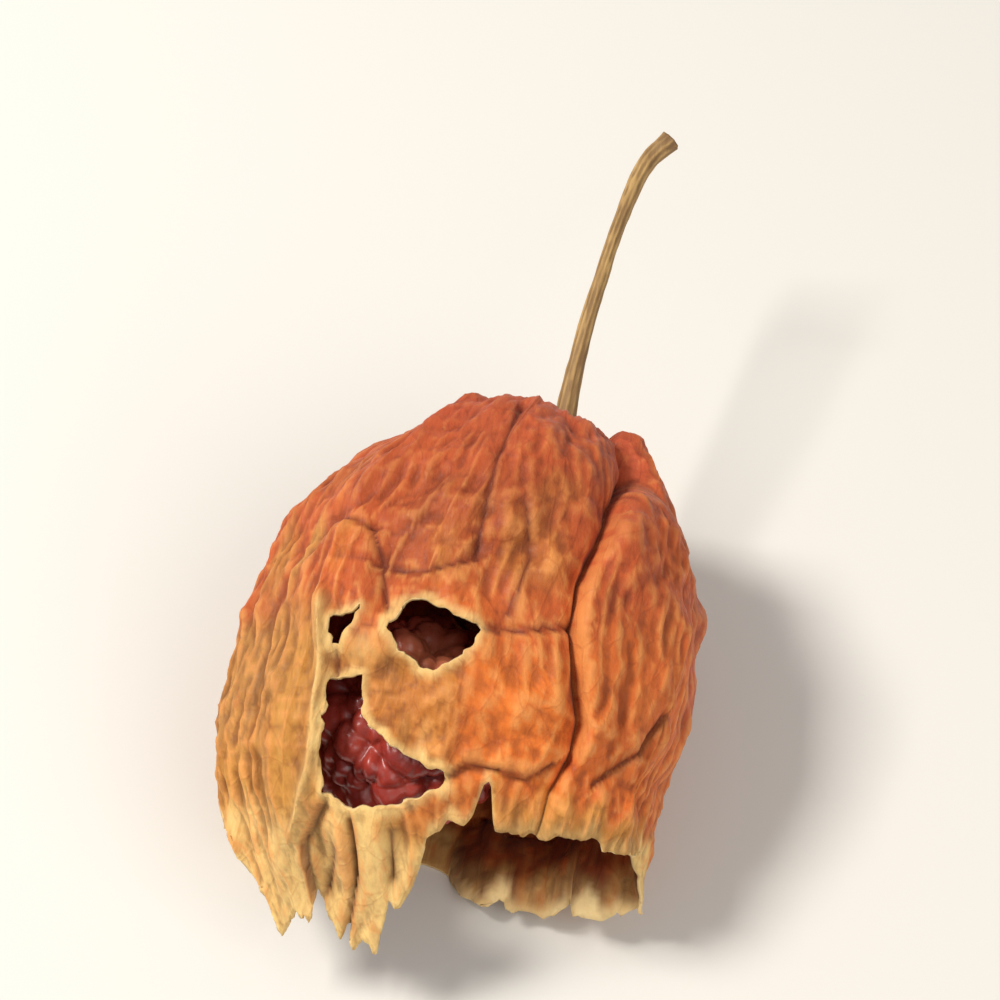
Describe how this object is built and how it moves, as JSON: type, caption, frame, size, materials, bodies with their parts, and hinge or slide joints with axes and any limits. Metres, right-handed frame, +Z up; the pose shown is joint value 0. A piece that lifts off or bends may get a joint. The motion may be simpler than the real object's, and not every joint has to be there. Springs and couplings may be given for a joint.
{
  "type": "physalis berry",
  "caption": "Dried physalis fruit: papery ribbed husk with torn holes and a ragged open mouth, the wrinkled berry inside it, and its dry stalk, lying on its belly.",
  "frame": {"origin": "on the surface that the fruit lies on, under the middle of its bounding box", "axes": "+Z up, +Y along the fruit towards the end of the stalk, with the mouth of the husk at -Y, +X to the right as seen from the mouth"},
  "size_m": [0.0306, 0.062, 0.0211],
  "materials": {
    "husk_paper": "dry, crinkled and veined, brick orange turning straw yellow at the mouth",
    "berry_skin": "wrinkled and glossy, dark maroon",
    "stalk_straw": "dry and fibrous, straw"
  },
  "bodies": {
    "root": {"husk": "husk_paper", "berry": "berry_skin", "stalk": "stalk_straw"}
  },
  "joints": []
}
